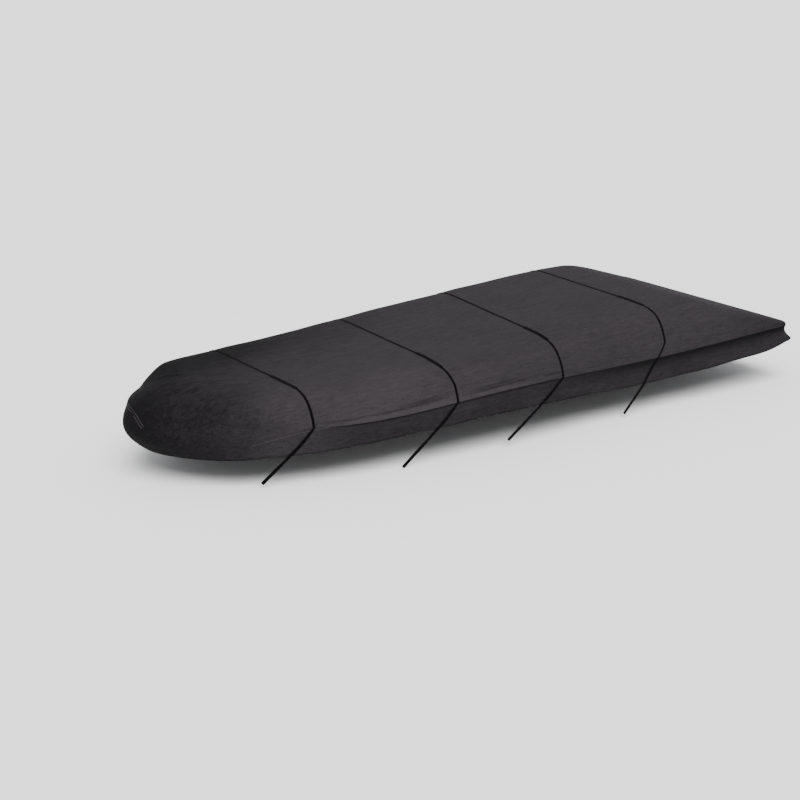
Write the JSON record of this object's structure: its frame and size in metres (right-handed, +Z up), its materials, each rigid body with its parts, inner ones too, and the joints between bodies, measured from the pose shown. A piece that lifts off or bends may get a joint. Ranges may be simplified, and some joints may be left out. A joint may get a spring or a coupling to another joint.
{
  "type": "boat cover",
  "caption": "Fitted dark cloth cover for an open boat: taut crowned top, skirt band with a folded hem, and webbing straps across it with free ends.",
  "frame": {"origin": "under the middle of the top, on its inner face, 2.4 m forward of the transom: where the cover rests on what holds it up", "axes": "+X to the bow, +Y to port, +Z up"},
  "size_m": [4.7689, 1.8606, 0.6857],
  "materials": {
    "cover_cloth": "matt coated weave",
    "webbing": "matt woven webbing"
  },
  "bodies": {
    "root": {"cover_top": "cover_cloth", "cover_skirt": "cover_cloth", "strap_aft": "webbing", "lap_aft": "webbing", "strap_mid": "webbing", "lap_mid": "webbing", "strap_fore": "webbing", "lap_fore": "webbing", "strap_bow": "webbing", "lap_bow": "webbing"}
  },
  "joints": []
}
